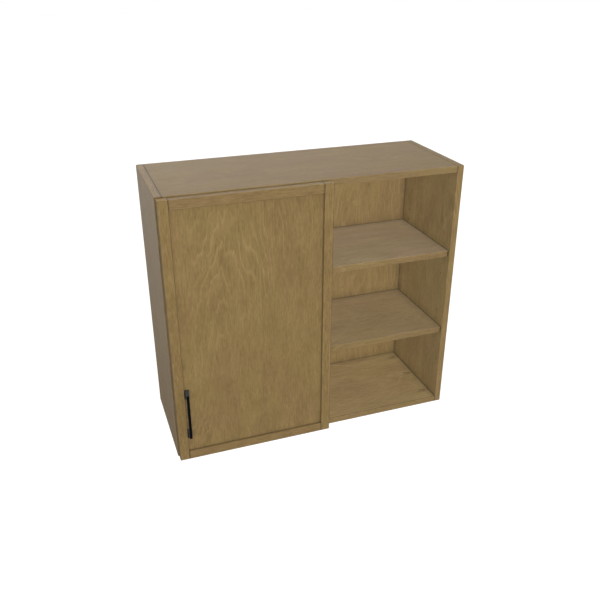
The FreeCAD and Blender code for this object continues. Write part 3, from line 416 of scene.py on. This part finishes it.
def wood(name, stain, thin, grain, end_grain, seed, pith, depth, figure, streaks=1.0, edge_stain=EDGE_STAIN,
         outer=None, end_tone=END_TONE, ends=None, front=None, arris=None, rubbed_highlight_width=RUBBED_HIGHLIGHT_WIDTH,
         gloss=WOOD_GLOSS, shine=WOOD_SHINE, slope=None, end_shine=None):
    """Stained veneer, with edges of their own stain on the faces that don't look along the thin axis.

    The grain runs along one axis, and along end_grain on faces across that axis. The figure is the strength
    of its rings and blotches, and streaks that of its fibres. An outer pair gives the way along the thin axis
    that the outside of the cabinet lies, 1 or -1, and the stain there. The end tone is what the end grain
    makes of the edge stain. Where ends are given, a dark joint line is drawn at those two places along the
    grain. A front is the place along Y of the front edge, behind which the glue line of its edge band shows.
    An arris is the place along X of an edge with a dark line and a lighter band beside it: painted shade and
    a painted highlight on the door's right stile, a joint line on the right side's ends. The outer edges are
    lighter within their given width, worn stain with a painted highlight. A slope is an axis, a start and an
    end along it, and the shine at each.
    """
    way, outer_stain = outer or (None, None)
    t = Wood(name, thin, grain, way)
    place = t.grain_place(end_grain, seed)
    tint = t.grain_tint(place, t.arches(place, seed, pith, depth), figure, streaks)
    colour = t.stained(tint, stain, outer_stain, edge_stain, end_tone)
    from_joint = t.from_ends(ends) if ends else None
    # Painted shade and a painted highlight along the door's right stile; a joint line on the right side's
    # ends
    if arris is not None:
        colour = t.with_arris(colour, arris)
    # Lighter outer edges: worn stain and a painted highlight
    colour = t.rubbed_and_highlit(colour, rubbed_highlight_width, from_joint if ends else 1.0)
    # Painted shade in corners, hollows and gaps, with the dark joint and glue lines
    t.give("Base Color", t.with_painted_shade_and_lines(colour, from_joint, front))
    t.give("Roughness", t.remap(t.streak, gloss + GLOSS_SPREAD[0], gloss + GLOSS_SPREAD[1]))
    t.give("Specular IOR Level", t.lacquer(shine, slope, end_shine))
    height = t.math("MULTIPLY", t.fibre, FIBRE_HEIGHT)
    height = t.math("ADD", height, t.math("MULTIPLY", t.pores, PORE_HEIGHT))
    t.bump(height, WOOD_BUMP, WOOD_BUMP_DEPTH)
    return t.material


# Mottled finishes: the share of fine and broad mottling, its limits and how far it moves the roughness
FINE_SHARE = 0.6
BROAD_SHARE = 0.4
BROAD_SCALE = 0.06
MOTTLE_LOW = 0.25
MOTTLE_HIGH = 0.75
MOTTLE_ROUGHNESS = 0.08
MOTTLE_DEPTH = 0.0001
# Where a painted sheen lightens faces that don't look along Y
SHEEN_SIDE_LIMITS = [(0.35, 1.0), (0.92, 0.0)]
# Tones of the painted shade in a finish's corners
FINISH_SHADE_TONES = [(0.2, 0.14), (0.6, 0.40), (0.95, 1.0)]
NO_STRETCH = (1.0, 1.0, 1.0)


def speckled(name, colour, roughness, grain_scale, contrast, metallic=0.0, stretch=NO_STRETCH, bump=0.1,
             shine=0.5, side_sheen=None, shade_reach=FINISH_SHADE_REACH):
    """A finish with fine mottling: powder coat, plating, moulded plastic or rubber.

    Where the lightness of the sides is given, faces that don't look along Y are lighter by that factor, a
    painted sheen.
    Corners are darker within the given reach, a painted shade.
    """
    t = Finish(name)
    place = t.vector("MULTIPLY", t.coords.outputs["Object"], stretch)
    fine = t.noise(place, scale=grain_scale, detail=3.0, roughness=0.6)
    broad = t.noise(place, scale=grain_scale * BROAD_SCALE)
    tone = t.math("ADD", t.math("MULTIPLY", fine, FINE_SHARE), t.math("MULTIPLY", broad, BROAD_SHARE))
    dark = scaled(colour, 1.0 - contrast)
    light = scaled(colour, 1.0 + contrast)
    base = t.ramp(tone, [(MOTTLE_LOW, dark), (MOTTLE_HIGH, light)])
    # Painted sheen: faces that don't look along Y are lighter
    if side_sheen is not None:
        _, normal_y, _ = t.split(t.coords.outputs["Normal"])
        sheened_side = t.ramp(t.math("ABSOLUTE", normal_y), SHEEN_SIDE_LIMITS)
        base = t.mix(sheened_side, base, t.times(base, opaque(scaled(WHITE, side_sheen))))
    # Painted shade in the finish's corners
    free_of_shade_and_lines = t.ramp(t.occlusion(shade_reach), FINISH_SHADE_TONES)
    t.give("Base Color", t.times(base, free_of_shade_and_lines))
    t.give("Roughness", t.remap(tone, roughness - MOTTLE_ROUGHNESS, roughness + MOTTLE_ROUGHNESS))
    t.give("Metallic", metallic)
    t.give("Specular IOR Level", shine)
    t.bump(fine, bump, MOTTLE_DEPTH)
    return t.material


def dress(node, material):
    """Give a CAD node's every slot the material."""
    mesh = nodes[node].data
    if not mesh.materials:
        mesh.materials.append(material)
    for index in range(len(mesh.materials)):
        mesh.materials[index] = material


def reach(node, axis):
    """Where a node starts and ends along an axis, in its own coordinates."""
    places = [corner["XYZ".index(axis)] for corner in nodes[node].bound_box]
    return min(places), max(places)


def shine_along(node, axis, low, high):
    """A shine from low to high along an axis of a node."""
    return (axis, *reach(node, axis), low, high)


# Boards. The shine of the left side and the top slopes as the photograph's light does.
BOARDS = {
    "left_side": dict(
        stain=INSIDE_LIT_STAIN, thin="X", grain="Z", end_grain="Y", seed=1.0, pith=0.0, depth=0.04, figure=0.8,
        edge_stain=LEFT_EDGE_SHADED_STAIN, outer=(-1.0, LEFT_SHADED_STAIN), end_tone=1.04,
        rubbed_highlight_width=SLIGHTLY_RUBBED_HIGHLIGHT_WIDTH, shine=0.052, slope=shine_along("left_side", "Z", 0.014, 0.150),
    ),
    "right_side": dict(
        stain=INSIDE_LIT_STAIN, thin="X", grain="Z", end_grain="Y", seed=2.0, pith=0.0, depth=0.04, figure=1.0,
        streaks=0.8, edge_stain=RIGHT_EDGE_STAIN, outer=(1.0, OUTSIDE_STAIN), end_tone=0.70,
        arris=reach("right_side", "X")[0], shine=0.05, end_shine=0.022,
    ),
    "top_panel": dict(
        stain=INSIDE_LIT_STAIN, thin="Z", grain="X", end_grain="Y", seed=3.0, pith=-0.15, depth=0.06, figure=0.6,
        streaks=0.65, edge_stain=TOP_EDGE_HIGHLIT_STAIN, outer=(1.0, TOP_SHADED_STAIN), ends=reach("top_panel", "X"),
        shine=0.048, slope=shine_along("top_panel", "X", 0.064, 0.029),
    ),
    "bottom_panel": dict(
        stain=BOTTOM_LIT_STAIN, thin="Z", grain="X", end_grain="Y", seed=4.0, pith=-0.18, depth=0.04, figure=1.0,
        streaks=0.7, outer=(-1.0, OUTSIDE_STAIN), ends=reach("bottom_panel", "X"),
        front=reach("bottom_panel", "Y")[0],
    ),
    "back_panel": dict(
        stain=BACK_LIT_STAIN, thin="Y", grain="Z", end_grain="X", seed=5.0, pith=0.25, depth=0.04, figure=1.0,
        streaks=0.75, outer=(1.0, OUTSIDE_STAIN),
    ),
    "hinge_mullion": dict(
        stain=INSIDE_LIT_STAIN, thin="X", grain="Z", end_grain="Y", seed=6.0, pith=0.0, depth=0.05, figure=0.7,
    ),
    "lower_shelf": dict(
        stain=LOWER_SHELF_LIT_STAIN, thin="Z", grain="X", end_grain="Y", seed=7.0, pith=-0.12, depth=0.05,
        figure=0.8, streaks=0.6,
    ),
    "upper_shelf": dict(
        stain=UPPER_SHELF_LIT_STAIN, thin="Z", grain="X", end_grain="Y", seed=8.0, pith=-0.20, depth=0.06,
        figure=0.8, streaks=0.6,
    ),
    "door_panel": dict(
        stain=DOOR_STAIN, thin="Y", grain="Z", end_grain="X", seed=13.0, pith=-0.27, depth=0.03, figure=1.1,
        streaks=0.88, rubbed_highlight_width=SLIGHTLY_RUBBED_HIGHLIGHT_WIDTH,
    ),
}
for node, look in BOARDS.items():
    dress(node, wood(node + "_veneer", **look))

# Door frame: solid strips, the rails ending at the stiles
between_stiles = (reach("door_left_stile", "X")[1], reach("door_right_stile", "X")[0])
STRIPS = {
    "door_left_stile": dict(
        stain=LEFT_STILE_STAIN, edge_stain=LEFT_STILE_SHADED_EDGE_STAIN, grain="Z", end_grain="X", seed=9.0,
        # The end tone lifts the stile's ends out of the painted shade of its edge stain
        pith=-0.40, end_tone=2.4, shine=0.03, slope=shine_along("door_left_stile", "Z", 0.03, 0.10),
    ),
    "door_right_stile": dict(
        stain=RIGHT_STILE_STAIN, edge_stain=RIGHT_STILE_STAIN, grain="Z", end_grain="X", seed=10.0, pith=0.02,
        arris=reach("door_right_stile", "X")[1], shine=0.07,
    ),
    "door_top_rail": dict(
        stain=TOP_RAIL_STAIN, edge_stain=RAIL_EDGE_STAIN, grain="X", end_grain="Y", seed=11.0, pith=-0.30,
        ends=between_stiles, shine=0.07,
    ),
    "door_bottom_rail": dict(
        stain=BOTTOM_RAIL_STAIN, edge_stain=RAIL_EDGE_STAIN, grain="X", end_grain="Y", seed=12.0, pith=-0.30,
        ends=between_stiles, shine=0.07,
    ),
}
for node, look in STRIPS.items():
    dress(node, wood(node + "_wood", thin="Y", depth=0.12, figure=0.6, **look))

# Dowels
beech = wood(
    "bare_beech", stain=BEECH, edge_stain=BEECH, thin="Y", grain="X", end_grain="Y", seed=20.0, pith=0.0,
    depth=0.03, figure=0.6, gloss=0.6,
)
for node in ("panel_dowels", "mullion_dowels"):
    dress(node, beech)

# Metal, plastic and rubber
# The pull's faces that don't look to the front are lighter, a painted sheen, and its corners darker, a
# painted shade
dress("door_pull", speckled(
    "black_powder_coat", PULL_BLACK, roughness=0.50, grain_scale=2600.0, contrast=0.25, bump=0.2, shine=0.02,
    side_sheen=22.0, shade_reach=PULL_SHADE_REACH,
))
nickel = speckled(
    "nickel_plate", NICKEL, roughness=0.32, grain_scale=1500.0, contrast=0.08, metallic=1.0,
    stretch=(1.0, 1.0, 0.08),
)
for node in (
    "back_screws", "connector_bolts", "shelf_pins", "pull_screws", "lower_hinge_cup", "lower_hinge_arm",
    "lower_hinge_plate", "upper_hinge_cup", "upper_hinge_arm", "upper_hinge_plate", "hinge_pins",
    "cup_screws", "plate_screws", "hinge_adjusters",
):
    dress(node, nickel)
dress("connector_housings", speckled(
    "tinted_plastic", TINTED_PLASTIC, roughness=0.45, grain_scale=900.0, contrast=0.18, bump=0.15,
))
dress("door_bumpers", speckled("soft_bumper", BUMPER_WHITE, roughness=0.5, grain_scale=1200.0, contrast=0.06))

# Pale floor, lifted to white where it is seen
FLOOR_DROP = 1.0
FLOOR_SIZE = 60.0
FLOOR_LIFT = 0.84
FLOOR_GREYS = [(0.3, 0.25), (0.7, 0.27)]
FLOOR_SPOTS = 3.0
FLOOR_ROUGHNESS = 0.9
floor_z = cad_box[0][2] - FLOOR_DROP
half = FLOOR_SIZE / 2
corners = [(-half, -half, floor_z), (half, -half, floor_z), (half, half, floor_z), (-half, half, floor_z)]
floor_mesh = bpy.data.meshes.new("floor")
floor_mesh.from_pydata(corners, [], [(0, 1, 2, 3)])
floor = bpy.data.objects.new("floor", floor_mesh)
scene.collection.objects.link(floor)
paper = Finish("pale_floor")
spots = paper.noise(paper.coords.outputs["Object"], scale=FLOOR_SPOTS)
paper.give("Base Color", paper.ramp(spots, FLOOR_GREYS))
paper.give("Roughness", FLOOR_ROUGHNESS)
glow = paper.add("ShaderNodeEmission")
paper.feed(glow.inputs["Color"], opaque(WHITE))
paper.feed(glow.inputs["Strength"], paper.math("MULTIPLY", paper.seen(), FLOOR_LIFT))
both = paper.add("ShaderNodeAddShader")
paper.feed(both.inputs[0], paper.shader.outputs[0])
paper.feed(both.inputs[1], glow.outputs[0])
paper.feed(paper.output.inputs["Surface"], both.outputs[0])
floor_mesh.materials.append(paper.material)

# Even surround: a weak light on surfaces, and full white where it is seen
SURROUND_LIGHT = 0.05
world = bpy.data.worlds.new("surround")
scene.world = world
world.use_nodes = True
sky = Tree(world.node_tree)
background = sky.nodes["Background"]
sky.feed(background.inputs["Color"], opaque(WHITE))
sky.feed(background.inputs["Strength"], sky.remap(sky.seen(), SURROUND_LIGHT, 1.0))

# A weak key, a near lamp at the upper left for the photograph's gentle slopes, and fills all round
ORIGIN = (0.0, 0.0, 0.0)
CABINET_MIDDLE = (0.0, -0.2, 0.0)
FILL_ANGLE = 1.0
FILLS = [
    ("fill_front", (0.0, -6.0, 0.0), 1.60),
    ("fill_top", (0.0, 0.0, 6.0), 1.69),
    ("fill_left", (-6.0, 0.0, 0.0), 0.70),
    ("fill_right", (6.0, 0.0, 0.0), 1.4),
    ("fill_back", (1.5, 6.0, 0.0), 2.0),
    ("fill_below", (0.0, 0.0, -6.0), 1.2),
]


def hang(name, light, place, target):
    """Put a light at a place, aimed at a point."""
    lamp = bpy.data.objects.new(name, light)
    lamp.location = place
    lamp.rotation_euler = (Vector(target) - Vector(place)).to_track_quat("-Z", "Y").to_euler()
    scene.collection.objects.link(lamp)


def cast_shadows(light, shadow):
    light.use_shadow = shadow
    light.cycles.cast_shadow = shadow


def soft_lamp(name, place, size, power, shadow):
    """A square soft box aimed at the middle of the cabinet."""
    light = bpy.data.lights.new(name, "AREA")
    light.shape = "SQUARE"
    light.size = size
    light.energy = power
    cast_shadows(light, shadow)
    hang(name, light, place, CABINET_MIDDLE)


def fill_lamp(name, place, strength):
    """An even fill from one side that casts no shadow, as from a white room all round."""
    light = bpy.data.lights.new(name, "SUN")
    light.energy = strength
    light.angle = FILL_ANGLE
    cast_shadows(light, False)
    hang(name, light, place, ORIGIN)


soft_lamp("key", (-0.35, -2.6, 0.9), size=1.2, power=6.0, shadow=True)
soft_lamp("near", (-0.8, -1.9, 1.0), size=0.8, power=10.0, shadow=False)
for name, place, strength in FILLS:
    fill_lamp(name, place, strength)

# Camera at the photograph's place, found from the cabinet's edges
CAMERA_PLACE = Vector((-0.62551, -1.91092, 0.89361))
CAMERA_AIM = Vector((0.30082, 0.84475, -0.44262))
CAMERA_LENS = 42.03
SENSOR_WIDTH = 36.0
camera_data = bpy.data.cameras.new("camera")
camera_data.lens = CAMERA_LENS
camera_data.sensor_width = SENSOR_WIDTH
camera = bpy.data.objects.new("camera", camera_data)
camera.location = CAMERA_PLACE
camera.rotation_euler = CAMERA_AIM.to_track_quat("-Z", "Y").to_euler()
scene.collection.objects.link(camera)
scene.camera = camera

scene.view_settings.view_transform = "Standard"
